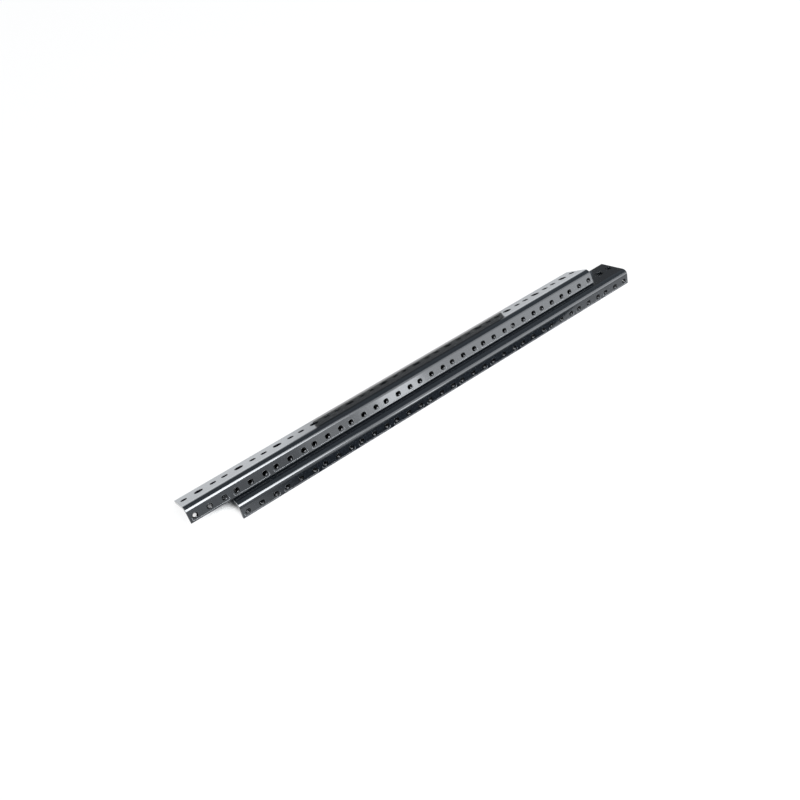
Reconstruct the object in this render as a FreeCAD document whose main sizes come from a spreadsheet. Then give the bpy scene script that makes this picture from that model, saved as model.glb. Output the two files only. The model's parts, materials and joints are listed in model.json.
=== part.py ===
"""A pair of identical folded steel rack rails, one lying on the floor and one leaning over it.

Millimetres. +X runs along the rails, +Y to the back and +Z up. The origin is on the floor, under the
middle of the pair.
"""
import FreeCAD, Part
import enum
import math
import os
import Sketcher

# Driving sizes: alias, value, what it is
SIZES = [
    ("rack_units", 12, "rack units along one rail"),
    ("unit_pitch", 44.45, "height of one rack unit"),
    ("hole_step", 15.875, "distance between neighbouring holes inside one unit"),
    ("sheet_thickness", 3.04, "eleven gauge sheet steel"),
    ("side_flange", 36.3, "wide flange, measured over the fold"),
    ("face_flange", 17.4, "narrow flange, measured over the fold"),
    ("inner_bend", 3.0, "inside radius of the fold"),
    ("edge_rounding", 0.4, "radius of the sheet's four long edges"),
    ("face_hole_line", 11.9, "tapped holes, from the outside of the side flange"),
    ("tapped_bore", 4.1, "bore left by the tap drill"),
    ("side_hole_line", 21.5, "plain holes, from the outside of the face flange"),
    ("small_side_hole", 5.4, "first and last plain hole of each unit"),
    ("large_side_hole", 8.1, "middle plain hole of each unit"),
    ("end_shift", 44.1, "how far the upper rail lies ahead of the lower one"),
    ("lean_line", 13.1, "where the upper rail's edge rests, from the lower rail's fold"),
    ("rest_gap", 0.2, "clearance where the upper rail rests on the lower one"),
]

# The resting pose: name, property type and formula. Both rails stand on the rounded inner corners of their
# free edges. The chord between those two corners' centres is level under the lower rail and tilts under
# the upper one, whose front corner rests on the lower rail.
POSE = [
    ("rail_length", "App::PropertyLength", "Sizes.rack_units * Sizes.unit_pitch * 1 mm"),
    ("foot_chord", "App::PropertyLength",
     "hypot(Sizes.side_flange - Sizes.sheet_thickness; Sizes.face_flange - Sizes.sheet_thickness) * 1 mm"),
    ("side_to_corner", "App::PropertyLength", "(Sizes.side_flange - Sizes.edge_rounding) * 1 mm"),
    ("face_to_corner", "App::PropertyLength", "(Sizes.face_flange - Sizes.edge_rounding) * 1 mm"),
    ("sheet_to_corner", "App::PropertyLength", "(Sizes.sheet_thickness - Sizes.edge_rounding) * 1 mm"),
    ("corner", "App::PropertyLength", "Sizes.edge_rounding * 1 mm"),
    ("seat_lift", "App::PropertyLength", "(Sizes.rest_gap + Sizes.edge_rounding) * 1 mm"),
    ("lower_roll", "App::PropertyAngle",
     "atan2(Sizes.face_flange - Sizes.sheet_thickness; Sizes.side_flange - Sizes.sheet_thickness)"),
    ("lower_height", "App::PropertyLength",
     "corner + sheet_to_corner * sin(lower_roll) + face_to_corner * cos(lower_roll)"),
    ("seat_depth", "App::PropertyDistance",
     "Sizes.lean_line * 1 mm * cos(lower_roll) + seat_lift * sin(lower_roll)"),
    ("seat_height", "App::PropertyDistance",
     "lower_height - Sizes.lean_line * 1 mm * sin(lower_roll) + seat_lift * cos(lower_roll)"),
    ("upper_roll", "App::PropertyAngle", "lower_roll + asin((seat_height - corner) / foot_chord)"),
    ("upper_height", "App::PropertyLength",
     "corner + side_to_corner * sin(upper_roll) + sheet_to_corner * cos(upper_roll)"),
    ("fold_spacing", "App::PropertyDistance",
     "seat_depth - sheet_to_corner * cos(upper_roll) + face_to_corner * sin(upper_roll)"),
    ("front_reach", "App::PropertyDistance",
     "face_to_corner * sin(lower_roll) - corner * cos(lower_roll) + corner"),
    ("back_reach", "App::PropertyDistance",
     "fold_spacing + side_to_corner * cos(upper_roll) - corner * sin(upper_roll) + corner"),
    ("lower_fold_y", "App::PropertyDistance", "(front_reach - back_reach) / 2"),
    ("upper_fold_y", "App::PropertyDistance", "lower_fold_y + fold_spacing"),
    ("upper_start", "App::PropertyDistance", "-(rail_length + Sizes.end_shift * 1 mm) / 2"),
    ("lower_start", "App::PropertyDistance", "upper_start + Sizes.end_shift * 1 mm"),
]

# Each rail's node name and the pose values that place its fold line
RAILS = [
    ("lower_rail", {"x": "lower_start", "y": "lower_fold_y", "z": "lower_height", "roll": "lower_roll"}),
    ("upper_rail", {"x": "upper_start", "y": "upper_fold_y", "z": "upper_height", "roll": "upper_roll"}),
]

# A rail turns about its fold line with its wide flange going down
ROLL_AXIS = FreeCAD.Vector(-1, 0, 0)


class PointOf(enum.IntEnum):
    """The points of a curve, in the order that constraints count them."""
    START = enum.auto()
    END = enum.auto()
    CENTRE = enum.auto()


class SketchAxis(enum.IntEnum):
    """A sketch's own axes, as constraints count them."""
    ACROSS = -1
    UP = -2


# A sketch's origin is the start of its axis across
ORIGIN = (SketchAxis.ACROSS, PointOf.START)


def make_sizes(doc):
    """The spreadsheet of driving sizes, one alias to a row."""
    sheet = doc.addObject("Spreadsheet::Sheet", "Sizes")
    for row, (alias, value, meaning) in enumerate(SIZES, start=1):
        sheet.set(f"A{row}", meaning)
        sheet.set(f"B{row}", str(value))
        sheet.setAlias(f"B{row}", alias)
    doc.recompute()
    return sheet


def make_pose(doc):
    """Named values worked out from the sizes: the rail's length and how the pair lies."""
    pose = doc.addObject("App::VarSet", "Pose")
    for name, kind, formula in POSE:
        pose.addProperty(kind, name)
        pose.setExpression(name, formula)
        doc.recompute()
    return pose


def origin_feature(body, role):
    """One of the body's own origin planes or axes, by its role."""
    return next(item for item in body.Origin.OriginFeatures if item.Role == role)


def make_sketch(body, name, plane):
    """An empty sketch on one of the body's origin planes."""
    sketch = body.newObject("Sketcher::SketchObject", name)
    sketch.AttachmentSupport = (origin_feature(body, plane), [""])
    sketch.MapMode = "FlatFace"
    return sketch


def add_dimension(sketch, name, kind, places, value, formula):
    """A named sketch dimension that follows a formula on the sheet."""
    index = sketch.addConstraint(Sketcher.Constraint(kind, *places, value))
    sketch.renameConstraint(index, name)
    sketch.setExpression(f"Constraints.{name}", formula)


def draw_section(sketch, sheet):
    """The folded strip's section: two flanges of even thickness, concentric fold arcs, rounded edges."""
    thick = sheet.sheet_thickness
    side = sheet.side_flange
    face = sheet.face_flange
    inner = sheet.inner_bend
    tip = sheet.edge_rounding
    outer = inner + thick

    def line(start, end):
        ends = [FreeCAD.Vector(*place) for place in (start, end)]
        return sketch.addGeometry(Part.LineSegment(*ends), False)

    def arc(centre, radius, quarter):
        circle = Part.Circle(FreeCAD.Vector(*centre), FreeCAD.Vector(0, 0, 1), radius)
        start = quarter * math.pi / 2
        return sketch.addGeometry(Part.ArcOfCircle(circle, start, start + math.pi / 2), False)

    side_out = line((side - tip, 0), (outer, 0))
    fold_out = arc((outer, -outer), outer, 1)
    face_out = line((0, -outer), (0, tip - face))
    face_tip_out = arc((tip, tip - face), tip, 2)
    face_edge = line((tip, -face), (thick - tip, -face))
    face_tip_in = arc((thick - tip, tip - face), tip, 3)
    face_in = line((thick, tip - face), (thick, -outer))
    fold_in = arc((outer, -outer), inner, 1)
    side_in = line((outer, -thick), (side - tip, -thick))
    side_tip_in = arc((side - tip, tip - thick), tip, 3)
    side_edge = line((side, tip - thick), (side, -tip))
    side_tip_out = arc((side - tip, -tip), tip, 0)

    relations = [
        ("Tangent", side_out, PointOf.END, fold_out, PointOf.START),
        ("Tangent", fold_out, PointOf.END, face_out, PointOf.START),
        ("Tangent", face_out, PointOf.END, face_tip_out, PointOf.START),
        ("Tangent", face_tip_out, PointOf.END, face_edge, PointOf.START),
        ("Tangent", face_edge, PointOf.END, face_tip_in, PointOf.START),
        ("Tangent", face_tip_in, PointOf.END, face_in, PointOf.START),
        ("Tangent", face_in, PointOf.END, fold_in, PointOf.END),
        ("Tangent", fold_in, PointOf.START, side_in, PointOf.START),
        ("Tangent", side_in, PointOf.END, side_tip_in, PointOf.START),
        ("Tangent", side_tip_in, PointOf.END, side_edge, PointOf.START),
        ("Tangent", side_edge, PointOf.END, side_tip_out, PointOf.START),
        ("Tangent", side_tip_out, PointOf.END, side_out, PointOf.START),
        ("Coincident", fold_out, PointOf.CENTRE, fold_in, PointOf.CENTRE),
        ("Horizontal", side_out),
        ("Vertical", face_out),
        ("Horizontal", face_edge),
        ("Vertical", face_in),
        ("Horizontal", side_in),
        ("Vertical", side_edge),
        ("PointOnObject", side_out, PointOf.START, SketchAxis.ACROSS),
        ("PointOnObject", face_out, PointOf.END, SketchAxis.UP),
        ("Equal", face_tip_out, face_tip_in),
        ("Equal", face_tip_out, side_tip_in),
        ("Equal", face_tip_out, side_tip_out),
    ]
    for relation in relations:
        sketch.addConstraint(Sketcher.Constraint(*relation))
    add_dimension(sketch, "side", "DistanceX", (*ORIGIN, side_edge, PointOf.START), side, "Sizes.side_flange")
    add_dimension(sketch, "face", "DistanceY", (face_edge, PointOf.START, *ORIGIN), face, "Sizes.face_flange")
    add_dimension(sketch, "sheet", "DistanceX", (*ORIGIN, face_in, PointOf.START), thick,
                  "Sizes.sheet_thickness")
    add_dimension(sketch, "bend", "Radius", (fold_in,), inner, "Sizes.inner_bend")
    add_dimension(sketch, "tip", "Radius", (face_tip_out,), tip, "Sizes.edge_rounding")


def draw_unit_holes(sketch, sheet, line_alias, line_sign, diameters):
    """One rack unit's three holes, centred in the unit on a line parallel to the fold."""
    offset = getattr(sheet, line_alias)
    for number, alias in enumerate(diameters):
        steps = number - 1
        along = sheet.unit_pitch / 2 + steps * sheet.hole_step
        radius = getattr(sheet, alias) / 2
        centre = FreeCAD.Vector(along, line_sign * offset, 0)
        hole = sketch.addGeometry(Part.Circle(centre, FreeCAD.Vector(0, 0, 1), radius), False)
        add_dimension(sketch, f"along{number}", "DistanceX", (*ORIGIN, hole, PointOf.CENTRE), along,
                      f"Sizes.unit_pitch / 2 + {steps} * Sizes.hole_step")
        ends = (*ORIGIN, hole, PointOf.CENTRE) if line_sign > 0 else (hole, PointOf.CENTRE, *ORIGIN)
        add_dimension(sketch, f"across{number}", "DistanceY", ends, offset, f"Sizes.{line_alias}")
        add_dimension(sketch, f"width{number}", "Diameter", (hole,), 2 * radius, f"Sizes.{alias}")


def repeat_units(doc, body, name, feature):
    """The feature of the first rack unit, repeated at every unit of the rail."""
    pattern = body.newObject("PartDesign::LinearPattern", name)
    pattern.Originals = [feature]
    pattern.Direction = (origin_feature(body, "X_Axis"), [""])
    pattern.Mode = "Spacing"
    pattern.setExpression("Offset", "Sizes.unit_pitch")
    pattern.setExpression("Occurrences", "Sizes.rack_units")
    body.Tip = pattern
    doc.recompute()


def require_cut(before, body, what):
    """A cut that removes nothing points the wrong way."""
    if math.isclose(body.Shape.Volume, before):
        raise RuntimeError(f"{body.Label}: {what} removed no metal")
    return body.Shape.Volume


def make_rail(doc, sheet, label, places):
    """One rail: folded strip, tapped holes in the face flange, plain holes in the side flange."""
    body = doc.addObject("PartDesign::Body", label)
    body.Label = label

    section = make_sketch(body, f"{label}_section", "YZ_Plane")
    draw_section(section, sheet)
    strip = body.newObject("PartDesign::Pad", f"{label}_strip")
    strip.Profile = section
    strip.setExpression("Length", "Pose.rail_length")
    doc.recompute()
    volume = body.Shape.Volume

    face_holes = make_sketch(body, f"{label}_face_holes", "XZ_Plane")
    draw_unit_holes(face_holes, sheet, "face_hole_line", -1,
                    ["tapped_bore", "tapped_bore", "tapped_bore"])
    doc.recompute()
    tapped = body.newObject("PartDesign::Hole", f"{label}_tapped")
    tapped.Profile = face_holes
    tapped.DepthType = "ThroughAll"
    tapped.setExpression("Diameter", "Sizes.tapped_bore")
    doc.recompute()
    volume = require_cut(volume, body, "tapped holes")
    repeat_units(doc, body, f"{label}_tapped_row", tapped)
    volume = require_cut(volume, body, "row of tapped holes")

    side_holes = make_sketch(body, f"{label}_side_holes", "XY_Plane")
    draw_unit_holes(side_holes, sheet, "side_hole_line", 1,
                    ["small_side_hole", "large_side_hole", "small_side_hole"])
    punched = body.newObject("PartDesign::Pocket", f"{label}_punched")
    punched.Profile = side_holes
    punched.Type = "ThroughAll"
    doc.recompute()
    volume = require_cut(volume, body, "side holes")
    repeat_units(doc, body, f"{label}_punched_row", punched)
    require_cut(volume, body, "row of side holes")

    body.Placement = FreeCAD.Placement(FreeCAD.Vector(), FreeCAD.Rotation(ROLL_AXIS, 1))
    for axis in "xyz":
        body.setExpression(f"Placement.Base.{axis}", f"Pose.{places[axis]}")
    body.setExpression("Placement.Rotation.Angle", f"Pose.{places['roll']}")
    doc.recompute()
    return body


def check(doc, bodies):
    """Stop on any failed object, any loose sketch and any rail that isn't one valid solid."""
    for item in doc.Objects:
        if "Invalid" in item.State or "Error" in item.State:
            raise RuntimeError(f"{item.Label} failed: {item.State}")
        if item.isDerivedFrom("Sketcher::SketchObject") and not item.FullyConstrained:
            raise RuntimeError(f"{item.Label} can still move")
    for body in bodies:
        if body.Shape.isNull() or not body.Shape.isValid() or len(body.Shape.Solids) != 1:
            raise RuntimeError(f"{body.Label} is not one valid solid")


def main():
    doc = FreeCAD.newDocument("rack_rails")
    sheet = make_sizes(doc)
    make_pose(doc)
    bodies = [make_rail(doc, sheet, label, places) for label, places in RAILS]
    check(doc, bodies)
    os.makedirs("parts", exist_ok=True)
    for body in bodies:
        body.Shape.exportStep(f"parts/{body.Label}.step")
        box = body.Shape.BoundBox
        print(f"{body.Label}: {body.Shape.Volume:.1f} mm3, x {box.XMin:.2f} to {box.XMax:.2f}, "
              f"y {box.YMin:.2f} to {box.YMax:.2f}, z {box.ZMin:.2f} to {box.ZMax:.2f}")


main()
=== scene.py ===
"""A pair of black steel rack rails, one lying on a pale floor and one leaning over it.

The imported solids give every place. Shapes are worked out in millimetres on the sheet of one rail, and then
laid on each rail's own fold line in metres.
"""
import json
import math

import bpy
import numpy as np
from mathutils import Matrix, Vector


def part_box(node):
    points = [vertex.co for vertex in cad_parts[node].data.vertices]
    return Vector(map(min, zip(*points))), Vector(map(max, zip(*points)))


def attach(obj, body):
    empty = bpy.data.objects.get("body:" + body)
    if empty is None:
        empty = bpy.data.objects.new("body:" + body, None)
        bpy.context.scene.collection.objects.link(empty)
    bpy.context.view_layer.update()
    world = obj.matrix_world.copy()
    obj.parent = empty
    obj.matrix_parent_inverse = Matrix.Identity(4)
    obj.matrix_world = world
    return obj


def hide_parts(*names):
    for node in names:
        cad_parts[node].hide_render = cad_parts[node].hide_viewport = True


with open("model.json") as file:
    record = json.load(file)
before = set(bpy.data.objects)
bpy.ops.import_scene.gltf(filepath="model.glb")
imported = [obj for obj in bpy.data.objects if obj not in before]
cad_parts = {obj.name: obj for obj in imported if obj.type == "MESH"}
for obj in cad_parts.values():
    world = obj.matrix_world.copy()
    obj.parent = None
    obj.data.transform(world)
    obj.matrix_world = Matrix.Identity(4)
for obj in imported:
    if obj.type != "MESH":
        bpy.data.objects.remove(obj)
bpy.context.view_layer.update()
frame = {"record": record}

# The two rails: strips of eleven gauge steel, punched and folded once along their length, then coated black.
# The narrow face flange has tapped holes cut through the coat, and the wide side flange has plain ones.
# Nothing holds them together: the lower one lies on the floor and the upper one leans over it.
MM = 0.001
RACK_UNIT = 44.45
HOLE_STEP = 15.875
SHEET = 3.04
SIDE_FLANGE = 36.3
FACE_FLANGE = 17.4
INNER_BEND = 3.0
OUTER_BEND = INNER_BEND + SHEET
LONG_EDGE = 0.4
END_EDGE = 0.3
FACE_HOLE_LINE = 11.9
SIDE_HOLE_LINE = 21.5
PUNCHED_RIM = 0.12

MINOR_RADIUS = 2.05
MAJOR_RADIUS = 2.415
THREAD_PITCH = 0.794
FLANK_SLOPE = 1.5
CREST_CUT = 0.2
THREAD_START_STEP = 0.618
LEAD_IN_RADIUS = 2.2
EXIT_RADIUS = 2.4

BEND_STEPS = 20
EDGE_STEPS = 4
CELL_STEPS = 8
RIM_STEPS = 3
THREAD_ROWS = 28
MOUTH_DEPTH = 0.06
THREAD_FIRST_ROW = 0.14
MID_ROW_OFFSET = 0.5
COLLAR_SHARE = 0.75
WELD_DIGITS = 5
FACE_CELL_HALF = 4.4
SIDE_CELL_HALF = 6.5
FACE_CELL = (FACE_HOLE_LINE - FACE_CELL_HALF, FACE_HOLE_LINE + FACE_CELL_HALF)
SIDE_CELL = (SIDE_HOLE_LINE - SIDE_CELL_HALF, SIDE_HOLE_LINE + SIDE_CELL_HALF)


def arc(centre, radius, start, end, steps):
    """Points and outward normals of a round stretch: its centre plus its radius times (cos, sin)."""
    angle = np.radians(np.linspace(start, end, steps + 1))
    normal = np.stack([np.cos(angle), np.sin(angle)], axis=1)
    return np.asarray(centre) + radius * normal, normal


def sheet_path():
    """The section's outer and inner line from the side flange's free edge to the face flange's.

    Both lines have the same number of points: a round edge, the straight side flange, the fold, the straight
    face flange and a round edge. Returns two (points, normals) pairs and the columns inside the hole bands.
    """
    side_stops = np.linspace(SIDE_CELL[1], SIDE_CELL[0], CELL_STEPS + 1)
    face_stops = np.linspace(FACE_CELL[0], FACE_CELL[1], CELL_STEPS + 1)
    lines = []
    for depth, bend, turn in ((0.0, OUTER_BEND, 1), (SHEET, INNER_BEND, -1)):
        inward = turn * LONG_EDGE
        side_tip = arc((SIDE_FLANGE - LONG_EDGE, -depth - inward), LONG_EDGE, 0, turn * 90, EDGE_STEPS)
        side_flat = np.stack([side_stops, np.full_like(side_stops, -depth)], axis=1)
        fold = arc((OUTER_BEND, -OUTER_BEND), bend, 90, 180, BEND_STEPS)
        face_flat = np.stack([np.full_like(face_stops, depth), -face_stops], axis=1)
        tip_start = 180 if turn > 0 else 0
        tip_centre = (depth + inward, LONG_EDGE - FACE_FLANGE)
        face_tip = arc(tip_centre, LONG_EDGE, tip_start, tip_start + turn * 90, EDGE_STEPS)
        side_normal = np.tile([0.0, turn], (len(side_stops), 1))
        face_normal = np.tile([-turn, 0.0], (len(face_stops), 1))
        points = np.concatenate([side_tip[0], side_flat, fold[0], face_flat, face_tip[0]])
        normals = np.concatenate([side_tip[1], side_normal, turn * fold[1], face_normal, face_tip[1]])
        lines.append((points, normals))
    first_side = EDGE_STEPS + 1
    first_face = first_side + CELL_STEPS + 1 + BEND_STEPS + 1
    banded = np.concatenate([first_side + np.arange(CELL_STEPS), first_face + np.arange(CELL_STEPS)])
    return lines[0], lines[1], banded


def quads(rows, columns, closed=False):
    """The four corners of every cell of a grid of points, whose columns may run round to the first one."""
    index = np.arange(rows * columns).reshape(rows, columns)
    if closed:
        index = np.concatenate([index, index[:, :1]], axis=1)
    corners = [index[:-1, :-1], index[1:, :-1], index[1:, 1:], index[:-1, 1:]]
    return np.stack(corners, axis=-1)


def cell_stops(length):
    """Stations along a rail, and its hole centres.

    There is one cell round each hole. Cells meet halfway between holes, and each is cut into equal steps.
    """
    units = round(length / RACK_UNIT)
    middles = (np.arange(units)[:, None] + 0.5) * RACK_UNIT
    halves = middles + HOLE_STEP / 2 * np.array([-1, 1])
    stops = np.sort(np.concatenate([halves.ravel(), np.arange(1, units) * RACK_UNIT]))
    stops = np.concatenate([[END_EDGE], stops, [length - END_EDGE]])
    share = np.arange(CELL_STEPS) / CELL_STEPS
    stations = (stops[:-1, None] + np.diff(stops)[:, None] * share).ravel()
    centres = (middles + HOLE_STEP * np.array([-1, 0, 1])).ravel()
    return np.append(stations, stops[-1]), centres


def eyelet(stations, centre, hole_line, band, radius_of, depths):
    """One hole with the sheet round it, as a tube that runs from one face of the sheet to the other.

    Round the tube run the points of the cell's rectangle and the angles of a circle. Along it the
    rectangle shrinks to the hole's mouth, the wall goes down through the sheet, and the hole opens to a
    rectangle again. Returns (along, from the fold, depth) points, rows first.
    """
    low, high = band
    across = np.linspace(low, high, CELL_STEPS + 1)
    along = np.concatenate([stations[:-1], np.full(CELL_STEPS, stations[-1]), stations[:0:-1],
                            np.full(CELL_STEPS, stations[0])])
    away = np.concatenate([np.full(CELL_STEPS, low), across[:-1], np.full(CELL_STEPS, high), across[:0:-1]])
    count = 4 * CELL_STEPS
    first_corner = -0.75 * np.pi
    angle = 2 * np.pi * (np.arange(count) / count) + first_corner
    wall = radius_of(angle[None, :], depths[:, None])
    ring = np.stack([centre + wall * np.cos(angle), hole_line + wall * np.sin(angle),
                     np.broadcast_to(depths[:, None], wall.shape)], axis=-1)
    rectangle = np.stack([along, away, np.zeros(count)], axis=-1)
    collar = rectangle + COLLAR_SHARE * (ring[0] - rectangle)
    far_rectangle = rectangle + [0, 0, SHEET]
    far_collar = far_rectangle + COLLAR_SHARE * (ring[-1] - far_rectangle)
    return np.concatenate([[rectangle, collar], ring, [far_collar, far_rectangle]])


def tapped_wall(start):
    """Radius of a tapped hole: the widest of a thread, the lead-in cone and the far chamfer.

    Over one pitch the thread's groove is a triangle wave, steepened and cut flat at its crest and its root.
    It starts at its own share of a turn in every hole.
    """
    def wall(angle, depth):
        turn = np.mod(depth / THREAD_PITCH - angle / (2 * np.pi) + start, 1.0)
        groove = np.clip(FLANK_SLOPE * np.abs(2 * turn - 1) - CREST_CUT, 0, 1)
        thread = MINOR_RADIUS + (MAJOR_RADIUS - MINOR_RADIUS) * groove
        lead_in = LEAD_IN_RADIUS - depth
        far_side = EXIT_RADIUS - (SHEET - depth)
        return np.maximum(np.maximum(thread, lead_in), far_side)
    return wall


def punched_wall(radius):
    """Radius of a plain punched hole: straight, with a quarter round of the rim's radius at each mouth."""
    def wall(angle, depth):
        into = np.minimum(depth, SHEET - depth)
        short = np.clip(PUNCHED_RIM - into, 0, PUNCHED_RIM)
        profile = radius + PUNCHED_RIM - np.sqrt(PUNCHED_RIM ** 2 - short ** 2)
        return np.broadcast_to(profile, np.broadcast_shapes(angle.shape, depth.shape))
    return wall


def grid_normals(rows):
    """Normals of a tube of points: the cross product of its steps along and round the tube."""
    down = np.gradient(rows, axis=0)
    turn = np.roll(rows, -1, axis=1) - np.roll(rows, 1, axis=1)
    normal = np.cross(turn, down)
    return normal / np.linalg.norm(normal, axis=-1, keepdims=True)


class SheetPatches:
    """Patches of points, normals, faces and material numbers, gathered one by one and then welded."""

    def __init__(self):
        self.points = []
        self.normals = []
        self.faces = []
        self.finish = []
        self.total = 0

    def add(self, points, normals, corners, finish=0):
        corners = corners.reshape(-1, 4)
        self.points.append(points.reshape(-1, 3))
        self.normals.append(normals.reshape(-1, 3))
        self.faces.append(corners + self.total)
        self.finish.append(np.broadcast_to(finish, len(corners)))
        self.total += points[..., 0].size

    def welded(self):
        """Whole arrays in which points that lie together are one, with the mean of their normals."""
        points = np.concatenate(self.points)
        rounded = np.round(points, WELD_DIGITS)
        _, first, same = np.unique(rounded, axis=0, return_index=True, return_inverse=True)
        summed = np.zeros((len(first), 3))
        np.add.at(summed, same.ravel(), np.concatenate(self.normals))
        normals = summed / np.linalg.norm(summed, axis=1, keepdims=True)
        faces = same.ravel()[np.concatenate(self.faces)]
        return points[first], normals, faces, np.concatenate(self.finish)


def carried(line, along):
    """A line of the section at every station: rows of the station, then the line's own two values."""
    shape = (len(along), len(line))
    stations = np.broadcast_to(along[:, None], shape)
    return np.concatenate([stations[..., None], np.broadcast_to(line, (*shape, 2))], axis=-1)


def add_faces(patches, outer, inner, banded, stations):
    """The sheet's two faces without their bands of holes, and the strips that close its long edges."""
    still = np.zeros(len(stations))
    plain = np.setdiff1d(np.arange(len(outer[0]) - 1), banded)
    for line, normal in (outer, inner):
        corners = quads(len(stations), len(line))[:, plain]
        patches.add(carried(line, stations), carried(normal, still), corners)
    for at in (0, -1):
        line = np.stack([outer[0][at], inner[0][at]])
        normal = np.stack([outer[1][at], inner[1][at]])
        patches.add(carried(line, stations), carried(normal, still), quads(len(stations), 2))


def add_ends(patches, outer, inner, length):
    """Both ends: the section drawn in round a quarter circle, and closed with rungs from face to face."""
    line, normal = (np.concatenate([outer[part], inner[part][::-1]]) for part in (0, 1))
    turn = np.radians(np.linspace(0, 90, EDGE_STEPS + 1))[:, None, None]
    drawn_in = line - END_EDGE * (1 - np.cos(turn)) * normal
    out = np.broadcast_to(END_EDGE * (1 - np.sin(turn)), (*drawn_in.shape[:2], 1))
    lean = np.concatenate([np.broadcast_to(-np.sin(turn), out.shape), np.cos(turn) * normal], axis=-1)
    near = np.arange(len(line) // 2)
    far = len(line) - 1 - near
    rungs = np.stack([near[:-1], near[1:], far[1:], far[:-1]], axis=1)
    for flip in (False, True):
        ring = np.concatenate([length - out if flip else out, drawn_in], axis=-1)
        tilt = lean * [-1, 1, 1] if flip else lean
        patches.add(ring, tilt, quads(*ring.shape[:2], closed=True))
        patches.add(ring[-1], tilt[-1], rungs)


def add_eyelet(patches, rows, on_face):
    """One eyelet laid on its flange, flat round the hole, with bare steel in a tapped hole's thread."""
    flat_rows = 2
    coated_bands_before = 3
    coated_bands_after = 2
    shell = grid_normals(rows)
    shell[:flat_rows] = [0, 0, -1]
    shell[-flat_rows:] = [0, 0, 1]
    corners = quads(*rows.shape[:2], closed=True)
    finish = np.zeros(corners.shape[:2], int)
    if on_face:
        finish[coated_bands_before:-coated_bands_after] = 1
    order = [0, 2, 1] if on_face else [0, 1, 2]
    ways = [1, 1, -1]
    patches.add(rows[..., order] * ways, shell[..., order] * ways, corners, finish.ravel())


def add_holes(patches, stations, centres, side_radii):
    """Every hole with its cell of sheet: tapped ones in the face flange, punched ones in the side."""
    thread = np.linspace(THREAD_FIRST_ROW, SHEET - MOUTH_DEPTH, THREAD_ROWS)
    thread_depths = np.concatenate([[0, MOUTH_DEPTH], thread, [SHEET]])
    rim = PUNCHED_RIM * (1 - np.cos(np.radians(np.linspace(0, 90, RIM_STEPS + 1))))
    punched_depths = np.concatenate([rim, SHEET / 2 + MID_ROW_OFFSET * np.array([-1, 1]), SHEET - rim[::-1]])
    for number, centre in enumerate(centres):
        cell = stations[number * CELL_STEPS:(number + 1) * CELL_STEPS + 1]
        tapped = tapped_wall(THREAD_START_STEP * number)
        punched = punched_wall(side_radii[number % len(side_radii)])
        face_rows = eyelet(cell, centre, FACE_HOLE_LINE, FACE_CELL, tapped, thread_depths)
        side_rows = eyelet(cell, centre, SIDE_HOLE_LINE, SIDE_CELL, punched, punched_depths)
        add_eyelet(patches, face_rows, on_face=True)
        add_eyelet(patches, side_rows, on_face=False)


def rail_sheet(length, side_radii):
    """Points, normals, faces and material numbers of one rail in its own frame, fold line along X."""
    outer, inner, banded = sheet_path()
    stations, centres = cell_stops(length)
    patches = SheetPatches()
    add_faces(patches, outer, inner, banded, stations)
    add_ends(patches, outer, inner, length)
    add_holes(patches, stations, centres, side_radii)
    return patches.welded()


def facing_out(points, normals, faces):
    """Faces turned so that each one's own normal agrees with the normals of its corners."""
    corner = points[faces]
    own = np.cross(corner[:, 2] - corner[:, 0], corner[:, 3] - corner[:, 1])
    wrong = np.einsum("ij,ij->i", own, normals[faces].sum(axis=1)) < 0
    return np.where(wrong[:, None], faces[:, ::-1], faces)


def piece_from(name, points, normals, faces, finish, materials):
    """A smooth object at the origin from whole arrays, with the given normals and one material to a face."""
    mesh = bpy.data.meshes.new(name)
    mesh.from_pydata(points.tolist(), [], faces.tolist())
    mesh.polygons.foreach_set("use_smooth", np.ones(len(faces), bool))
    mesh.polygons.foreach_set("material_index", np.asarray(finish, np.int32))
    for material in materials:
        mesh.materials.append(material)
    mesh.update()
    mesh.normals_split_custom_set_from_vertices(normals.tolist())
    piece = bpy.data.objects.new(name, mesh)
    bpy.context.scene.collection.objects.link(piece)
    return piece


class Wire:
    """A shader socket that can be used in sums. Operators add Math nodes, and node() adds any node."""

    def __init__(self, tree, socket):
        self.tree = tree
        self.socket = socket

    @staticmethod
    def node(tree, kind, settings=None, **sockets):
        """A new node. Its inputs are set by name, or as i and a number where several share a name."""
        made = tree.nodes.new(kind)
        for key, value in (settings or {}).items():
            setattr(made, key, value)
        for key, value in sockets.items():
            numbered = key[0] == "i" and key[1:].isdigit()
            target = made.inputs[int(key[1:]) if numbered else key.replace("_", " ")]
            if isinstance(value, Wire):
                tree.links.new(value.socket, target)
            else:
                target.default_value = value
        return made

    def maths(self, operation, other):
        made = Wire.node(self.tree, "ShaderNodeMath", {"operation": operation}, i0=self, i1=other)
        return Wire(self.tree, made.outputs[0])

    def __add__(self, other):
        return self.maths("ADD", other)

    def __mul__(self, other):
        return self.maths("MULTIPLY", other)

    __radd__ = __add__
    __rmul__ = __mul__

    def between(self, low, high):
        """0 below low, 1 above high, and a smooth step between them."""
        made = Wire.node(self.tree, "ShaderNodeMapRange", {"interpolation_type": "SMOOTHSTEP"},
                         Value=self, From_Min=low, From_Max=high)
        return Wire(self.tree, made.outputs[0])

    def blend(self, first, second):
        """A colour that goes from first to second with this value."""
        made = Wire.node(self.tree, "ShaderNodeMix", {"data_type": "RGBA"}, i0=self, i6=first, i7=second)
        return Wire(self.tree, made.outputs[2])


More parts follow.
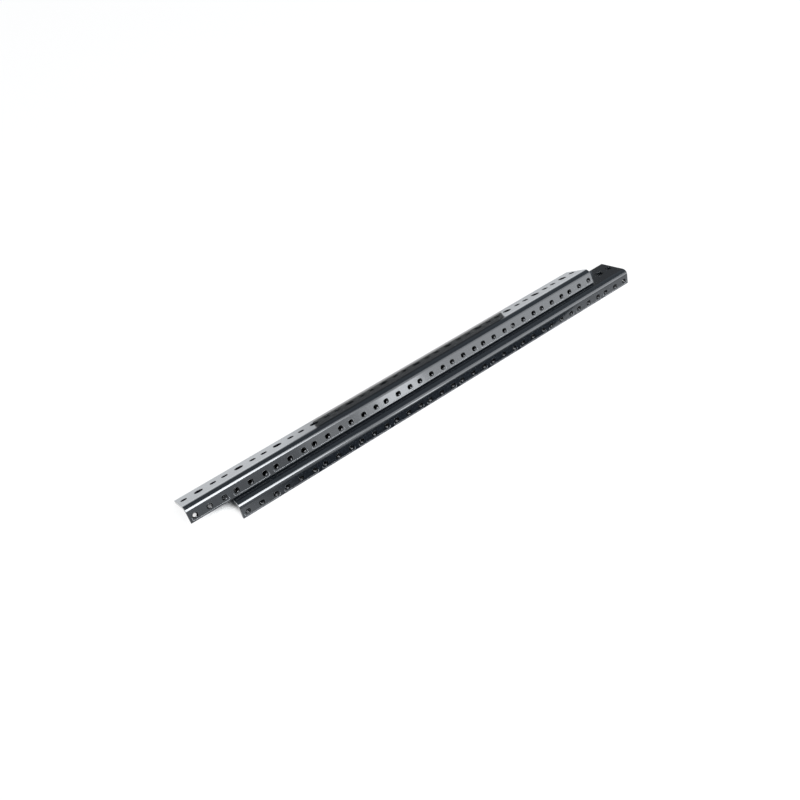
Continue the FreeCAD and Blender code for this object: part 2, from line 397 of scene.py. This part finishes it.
def new_finish(name):
    """A new material with a Principled shader: the material, its tree, the shader and Object places."""
    material = bpy.data.materials.new(name)
    material.use_nodes = True
    tree = material.node_tree
    shader = tree.nodes["Principled BSDF"]
    places = Wire(tree, Wire.node(tree, "ShaderNodeTexCoord").outputs["Object"])
    return material, tree, shader, places


def noise(tree, places, scale, detail=2.0):
    """A soft noise value over the object, with scale cells to a metre."""
    made = Wire.node(tree, "ShaderNodeTexNoise", Vector=places, Scale=scale, Detail=detail)
    return Wire(tree, made.outputs["Fac"])


def black_coat():
    """Semi-gloss black baked coat: clear skin over a dark body, with fine orange peel and faint clouds."""
    material, tree, shader, places = new_finish("black_coat")
    cloud = noise(tree, places, 35.0)
    grain = noise(tree, places, 900.0, 1.0)
    peel = noise(tree, places, 420.0)
    colour = cloud.blend((0.0040, 0.0050, 0.0063, 1), (0.0052, 0.0066, 0.0084, 1))
    tree.links.new(colour.socket, shader.inputs["Base Color"])
    tree.links.new((0.12 + 0.05 * cloud + 0.05 * grain).socket, shader.inputs["Roughness"])
    tree.links.new((0.88 + 0.12 * grain).socket, shader.inputs["Coat Weight"])
    shader.inputs["Coat Roughness"].default_value = 0.09
    shader.inputs["Specular IOR Level"].default_value = 0.08
    bump = Wire.node(tree, "ShaderNodeBump", Strength=0.12, Distance=0.00004, Height=peel)
    tree.links.new(bump.outputs[0], shader.inputs["Normal"])
    return material


def bare_thread():
    """Cut steel under a thin wash of the coat and some oil: dark, with uneven stains."""
    material, tree, shader, places = new_finish("bare_thread")
    stain = noise(tree, places, 700.0)
    colour = stain.between(0.35, 0.7).blend((0.028, 0.028, 0.029, 1), (0.046, 0.046, 0.046, 1))
    tree.links.new(colour.socket, shader.inputs["Base Color"])
    tree.links.new((0.22 + 0.2 * stain).socket, shader.inputs["Roughness"])
    shader.inputs["Metallic"].default_value = 1.0
    return material


mounts = {mount["name"]: mount for mount in frame["record"]["mounts"]}


class RailPlace:
    """Where one rail lies: its fold line and its two flange directions, read from the record's mounts."""

    def __init__(self, rail):
        low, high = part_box(f"{rail}_rail")
        tapped = mounts[f"{rail}_u01_tapped_pair"]
        side_way = -Vector(tapped["axis"])
        up_way = Vector((1, 0, 0)).cross(side_way)
        self.length = (high.x - low.x) / MM
        self.fold = Vector(tapped["pos_m"]) + FACE_HOLE_LINE * MM * up_way
        self.fold.x = low.x
        self.axes = np.array([(1, 0, 0), side_way, up_way])

    def put(self, points):
        return np.array(self.fold) + MM * points @ self.axes

    def turn(self, normals):
        return normals @ self.axes


coat = black_coat()
thread = bare_thread()
rail_places = {rail: RailPlace(rail) for rail in ("lower", "upper")}
for rail, place in rail_places.items():
    small = mounts[f"{rail}_u01_side_small_pair"]["dims"]["hole_r_mm"]
    large = mounts[f"{rail}_u01_u02_side_large_pair"]["dims"]["hole_r_mm"]
    points, normals, faces, finish = rail_sheet(place.length, (small, large, small))
    points = place.put(points)
    normals = place.turn(normals)
    faces = facing_out(points, normals, faces)
    piece = piece_from(f"{rail}_rail_sheet", points, normals, faces, finish, (coat, thread))
    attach(piece, f"{rail}_rail")
    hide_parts(f"{rail}_rail")

# Rack unit marks: a thin line of pale ink printed under the three tapped holes of each unit on both rails.
# Its ends turn up beside the outer holes, so that one unit can be told from the next.
MARK_LINE = FACE_FLANGE - 1.35
MARK_WIDTH = 0.5
MARK_INSET = 2.6
MARK_CORNER = 1.5
MARK_RISE = 3.0
MARK_PROUD = 0.03
MARK_SUNK = 0.03
MARK_STEPS = 8


def unit_mark():
    """The bracket's centre line and its outward normals: down, round a corner, along, round and up."""
    width = RACK_UNIT - 2 * MARK_INSET
    low = MARK_LINE - MARK_CORNER
    first, first_side = arc((MARK_INSET + MARK_CORNER, low), MARK_CORNER, 180, 90, MARK_STEPS)
    second, second_side = arc((MARK_INSET + width - MARK_CORNER, low), MARK_CORNER, 90, 0, MARK_STEPS)
    start = [[MARK_INSET, MARK_LINE - MARK_RISE]]
    end = [[MARK_INSET + width, MARK_LINE - MARK_RISE]]
    line = np.concatenate([start, first, second, end])
    side = np.concatenate([first_side[:1], first_side, second_side, second_side[-1:]])
    return line, side


def printed_marks(units):
    """Every unit's bracket as a flat closed ribbon: its centre line moved half a width to each side, with
    the ink's top a little above the coat and its underside a little below."""
    line, side = unit_mark()
    left = line + MARK_WIDTH / 2 * side
    right = line - MARK_WIDTH / 2 * side
    ring = np.stack([left, right, right, left], axis=1)
    depth = np.broadcast_to([-MARK_PROUD, -MARK_PROUD, MARK_SUNK, MARK_SUNK], ring.shape[:2])
    ribbon = np.stack([ring[..., 0], depth, -ring[..., 1]], axis=-1)
    ways = np.stack([side, -side, -side, side], axis=1)
    lift = np.broadcast_to([-1.0, -1.0, 1.0, 1.0], ring.shape[:2])
    normal = np.stack([ways[..., 0], lift, -ways[..., 1]], axis=-1)
    count = len(ribbon)
    ends = np.array([[0], [4 * (count - 1)]]) + np.arange(4)
    corners = np.concatenate([quads(count, 4, closed=True).reshape(-1, 4), ends])
    starts = np.arange(units) * RACK_UNIT
    points = ribbon[None] + starts[:, None, None, None] * np.array([1.0, 0, 0])
    faces = corners[None] + (np.arange(units) * 4 * count)[:, None, None]
    normals = np.broadcast_to(normal, points.shape)
    return points.reshape(-1, 3), normals.reshape(-1, 3), faces.reshape(-1, 4)


def pale_ink():
    """Thin matt ink: pale grey, a little uneven where the coat shows through."""
    material, tree, shader, places = new_finish("pale_ink")
    patch = noise(tree, places, 250.0)
    colour = patch.between(0.25, 0.6).blend((0.088, 0.090, 0.093, 1), (0.116, 0.118, 0.121, 1))
    tree.links.new(colour.socket, shader.inputs["Base Color"])
    tree.links.new((0.45 + 0.2 * patch).socket, shader.inputs["Roughness"])
    return material


ink = pale_ink()
for rail, place in rail_places.items():
    points, normals, faces = printed_marks(round(place.length / RACK_UNIT))
    points = place.put(points)
    normals = place.turn(normals)
    piece = piece_from(f"{rail}_unit_marks", points, normals, faces, np.zeros(len(faces)), (ink,))
    piece.data.polygons.foreach_set("use_smooth", np.zeros(len(faces), bool))
    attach(piece, f"{rail}_rail")

# The studio: a white floor that keeps a soft shadow and is dark under the rails, partly from real shade and
# partly from shade painted into its own colour, a pale room, and soft boxes to the front that light it. Low
# cards beside the rails and one card overhead stand like the flags round a product table, but they glow and
# are
# seen only in gloss: no lamps, but painted reflections, bright and dark, in the coat and the threads.
FLOOR_SIZE = 16.0
FLOOR_GLOW = 0.93
SHADE_REACH = 0.05
SHADE_SAMPLES = 16
OPEN_SKY_LIMITS = (0.27, 0.35)
# The floor's own colour: grey where it is painted shade, white in the open.
SHADED_FLOOR = (0.30, 0.30, 0.30, 1)
OPEN_FLOOR = (0.95, 0.95, 0.95, 1)
HORIZON_LIMITS = (-0.02, 0.12)
WHITE = (1, 1, 1, 1)
COOL_CEILING = (0.40, 0.45, 0.50, 1)
COOL_LIGHT = (0.965, 1.0, 1.04, 1)


def stage_sheet(name, corners, material):
    """A flat stage card from its four corners, in metres."""
    mesh = bpy.data.meshes.new(name)
    mesh.from_pydata(corners, [], [(0, 1, 2, 3)])
    mesh.materials.append(material)
    card = bpy.data.objects.new(name, mesh)
    bpy.context.scene.collection.objects.link(card)
    return card


def mix_shaders(tree, share, first, second):
    """Sends a mix of two shader nodes, by the share of the second, to the material's surface."""
    mixed = Wire.node(tree, "ShaderNodeMixShader", Fac=share)
    tree.links.new(first.outputs[0], mixed.inputs[1])
    tree.links.new(second.outputs[0], mixed.inputs[2])
    tree.links.new(mixed.outputs[0], tree.nodes["Material Output"].inputs["Surface"])


def floor_white():
    """White floor: mostly its own white where it is seen, and the rest lit, so that the shadow stays.

    Where a rail covers most of the sky it has no white of its own, and its colour turns grey as painted
    shade, so that the holes look down into shade.
    """
    material, tree, shader, _ = new_finish("floor_white")
    shader.inputs["Roughness"].default_value = 0.9
    shader.inputs["Specular IOR Level"].default_value = 0.0
    # Painted shade: where ambient occlusion finds most of the sky covered, under and close beside the rails,
    # the floor's own colour turns from white to grey.
    sky = Wire.node(tree, "ShaderNodeAmbientOcclusion", {"samples": SHADE_SAMPLES}, Distance=SHADE_REACH)
    open_sky = Wire(tree, sky.outputs["AO"]).between(*OPEN_SKY_LIMITS)
    tree.links.new(open_sky.blend(SHADED_FLOOR, OPEN_FLOOR).socket, shader.inputs["Base Color"])
    path = Wire.node(tree, "ShaderNodeLightPath").outputs
    seen = Wire(tree, path["Is Camera Ray"])
    for ray in ("Is Glossy Ray", "Is Transmission Ray"):
        seen = seen.maths("MAXIMUM", Wire(tree, path[ray]))
    glow = Wire.node(tree, "ShaderNodeEmission", Strength=1.0)
    mix_shaders(tree, FLOOR_GLOW * seen * open_sky, shader, glow)
    return material


half_floor = FLOOR_SIZE / 2
stage_sheet("floor", [(-half_floor, -half_floor, 0), (half_floor, -half_floor, 0),
                      (half_floor, half_floor, 0), (-half_floor, half_floor, 0)], floor_white())

world = bpy.data.worlds.new("pale_room")
bpy.context.scene.world = world
world.use_nodes = True
room = world.node_tree
direction = Wire(room, Wire.node(room, "ShaderNodeTexCoord").outputs["Generated"])
height = Wire(room, Wire.node(room, "ShaderNodeSeparateXYZ", Vector=direction).outputs["Z"])
ceiling = height.between(*HORIZON_LIMITS).blend(WHITE, COOL_CEILING)
in_view = Wire(room, Wire.node(room, "ShaderNodeLightPath").outputs["Is Camera Ray"])
room.links.new(in_view.blend(ceiling, WHITE).socket, room.nodes["Background"].inputs["Color"])


def glowing(name, level, right_level=None, fade=(0.0, 1.0), slant=0.0):
    """A card or soft box, a little cool like the light in the photograph: one brightness, or two with a
    fade from the first to the second along X plus slant times Y."""
    material, tree, _, places = new_finish(name)
    left_glow = Wire.node(tree, "ShaderNodeEmission", Color=COOL_LIGHT, Strength=level)
    right_glow = Wire.node(tree, "ShaderNodeEmission", Color=COOL_LIGHT, Strength=right_level or level)
    split = Wire.node(tree, "ShaderNodeSeparateXYZ", Vector=places).outputs
    along = Wire(tree, split["X"]) + slant * Wire(tree, split["Y"])
    mix_shaders(tree, along.between(*fade), left_glow, right_glow)
    return material


def soft_box(name, level, near_edge, far_edge, **fading):
    """A glowing sheet between two edges along X. An edge is its left and right end, Y and height."""
    near_left, near_right, near, foot = near_edge
    far_left, far_right, far, top = far_edge
    corners = [(near_left, near, foot), (near_right, near, foot),
               (far_right, far, top), (far_left, far, top)]
    box = stage_sheet(name, corners, glowing(name, level, **fading))
    box.visible_camera = False
    return box


def painted_reflection_card(name, level, near_edge, far_edge, **fading):
    """A soft box seen only in gloss, that neither lights matt surfaces nor casts a shadow: a painted
    reflection.
    """
    card = soft_box(name, level, near_edge, far_edge, **fading)
    card.visible_diffuse = False
    card.visible_transmission = False
    card.visible_shadow = False


soft_box("key_box", 24.5, (-0.22, 0.48, -1.14, 0.97), (-0.22, 0.48, -0.37, 1.57),
         right_level=4.0, fade=(-0.25, 0.18), slant=0.36)
soft_box("front_top", 3.8, (0.48, 1.70, -1.17, 0.97), (0.48, 1.70, -0.66, 1.40))
soft_box("key_low", 1.45, (-0.50, 0.24, -1.20, 0.20), (-0.50, 0.24, -1.20, 0.82))
soft_box("front_fill", 3.1, (0.24, 0.44, -1.20, 0.20), (0.24, 0.44, -1.20, 1.00))
soft_box("front_box", 4.9, (0.44, 1.70, -1.20, 0.20), (0.44, 1.70, -1.20, 1.00))
soft_box("front_bar", 12.0, (0.505, 0.660, -1.18, 0.20), (0.505, 0.660, -1.18, 0.71))

CARD_LIFT = 0.0005
BACK_NEAR = 0.029
BACK_FOLD = 0.060
BACK_TOP = 0.066
BACK_CARD_HEIGHT = 0.0505
FRONT_NEAR = -0.0276
FRONT_FAR = -0.085
LEFT_FADE = (-0.18, -0.12)

# Painted reflections: these cards glow, light nothing matt and are seen only in gloss. Bright and dark ones
# lie on or stand up from the floor behind and in front of the rails, and the one overhead puts glints in the
# threads.
painted_reflection_card("back_floor_left", 1.45,
           (-0.70, -0.128, BACK_NEAR, CARD_LIFT), (-0.70, -0.120, BACK_FOLD, CARD_LIFT),
           right_level=1.05, fade=LEFT_FADE)
painted_reflection_card("back_card_left", 3.4,
           (-0.70, -0.120, BACK_FOLD, CARD_LIFT), (-0.70, -0.117, BACK_TOP, BACK_CARD_HEIGHT),
           right_level=1.6, fade=LEFT_FADE)
painted_reflection_card("back_flag", 0.12,
           (-0.127, 0.140, 0.0345, CARD_LIFT), (-0.117, 0.153, BACK_TOP, 0.0605))
painted_reflection_card("back_floor_right", 1.08,
           (0.139, 0.290, BACK_NEAR, CARD_LIFT), (0.148, 0.300, BACK_FOLD, CARD_LIFT))
painted_reflection_card("back_card_right", 2.4,
           (0.148, 0.300, BACK_FOLD, CARD_LIFT), (0.153, 0.302, BACK_TOP, BACK_CARD_HEIGHT))
painted_reflection_card("back_flag_right", 0.2,
           (0.300, 0.480, 0.040, CARD_LIFT), (0.302, 0.480, BACK_TOP, 0.0555))
painted_reflection_card("front_card", 1.95,
           (-0.60, 0.144, FRONT_NEAR, CARD_LIFT), (-0.60, 0.280, FRONT_FAR, CARD_LIFT),
           right_level=0.05, fade=(-0.25, -0.16))
painted_reflection_card("front_card_right", 1.28,
           (0.144, 0.70, FRONT_NEAR, CARD_LIFT), (0.280, 0.70, FRONT_FAR, CARD_LIFT))
painted_reflection_card("top_card", 25.0,
           (-1.45, -0.30, -0.20, 1.30), (-1.45, -0.30, 0.65, 1.30))

# The camera stands to the front left and above, at the photograph's angle. Its picture is cut from one
# side of a wider one, so the lens is shifted.
AIM = Vector((-85.909, 90.982, 0.0)) * MM
DISTANCE = 815.895 * MM
AZIMUTH = math.radians(32.289)
ELEVATION = math.radians(49.022)
ROLL = math.radians(-3.338)
LENS = 33.482
SENSOR_WIDTH = 36.0
SHIFT = (0.11124, -0.04292)

look = Vector((math.sin(AZIMUTH) * math.cos(ELEVATION), math.cos(AZIMUTH) * math.cos(ELEVATION),
               -math.sin(ELEVATION)))
camera_data = bpy.data.cameras.new("camera")
camera_data.lens = LENS
camera_data.sensor_width = SENSOR_WIDTH
camera_data.shift_x, camera_data.shift_y = SHIFT
camera = bpy.data.objects.new("camera", camera_data)
bpy.context.scene.collection.objects.link(camera)
turned = look.to_track_quat("-Z", "Y").to_matrix().to_4x4() @ Matrix.Rotation(ROLL, 4, "Z")
camera.matrix_world = Matrix.Translation(AIM - DISTANCE * look) @ turned
bpy.context.scene.camera = camera
bpy.context.scene.view_settings.view_transform = "Standard"
